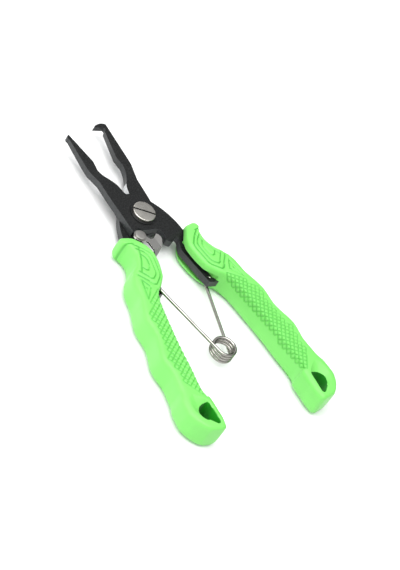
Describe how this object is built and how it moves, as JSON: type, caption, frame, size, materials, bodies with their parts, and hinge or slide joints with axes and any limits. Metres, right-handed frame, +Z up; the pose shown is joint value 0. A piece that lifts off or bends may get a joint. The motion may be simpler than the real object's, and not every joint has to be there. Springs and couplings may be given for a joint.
{
  "type": "fishing pliers",
  "caption": "Spring-opened split-ring fishing pliers with tapered jaws, hooked tooth, handle latch and moulded bright grips.",
  "frame": {"origin": "centre of the bottom of the open pliers lying on the backs of the grips", "axes": "+Y from the handles to the jaws, +Z up through the thickness, the latch side facing up, +X to the right seen from above"},
  "size_m": [0.0962, 0.1863, 0.0162],
  "materials": {
    "black_steel": "matte black coated steel",
    "nickel": "satin nickel",
    "black_washer": "matte black",
    "stainless": "polished stainless sheet",
    "spring_wire": "drawn bright wire",
    "grip_green": "matte moulded grip"
  },
  "bodies": {
    "front_half": {"front_lever": "black_steel", "front_grip": "grip_green", "pivot_screw": "nickel", "pivot_washer": "black_washer", "pivot_nut": "nickel"},
    "rear_half": {"rear_lever": "black_steel", "rear_grip": "grip_green", "latch_rivet": "nickel", "latch_spacer": "stainless"},
    "latch_body": {"latch": "stainless"},
    "front_spring_leg": {"spring_front": "spring_wire"},
    "rear_spring_leg": {"spring_rear": "spring_wire"}
  },
  "joints": [
    {"name": "handle_pivot", "type": "hinge", "parent": "front_half", "child": "rear_half", "pos_m": [0, 0.03351, 0.0072], "axis": [0, 0, 1], "range_deg": [0, 22], "stiffness_Nm_per_rad": 1.2, "springref_deg": -14.32},
    {"name": "latch_pivot", "type": "hinge", "parent": "rear_half", "child": "latch_body", "pos_m": [-0.0104, 0.02076, 0.0118], "axis": [0, 0, 1], "range_deg": [-8, 25]},
    {"name": "spring_anchor", "type": "hinge", "parent": "front_half", "child": "front_spring_leg", "pos_m": [0.01685, -0.00938, 0.0072], "axis": [0, 0, 1], "range_deg": [0, 23.1]},
    {"name": "spring_coil", "type": "hinge", "parent": "front_spring_leg", "child": "rear_spring_leg", "pos_m": [0, -0.04869, 0.0072], "axis": [0, 0, 1], "range_deg": [-24, 0]}
  ],
  "couplings": [
    {"joint": "spring_anchor", "follows": "handle_pivot", "ratio": 1.0432},
    {"joint": "spring_coil", "follows": "handle_pivot", "ratio": -1.0863}
  ]
}
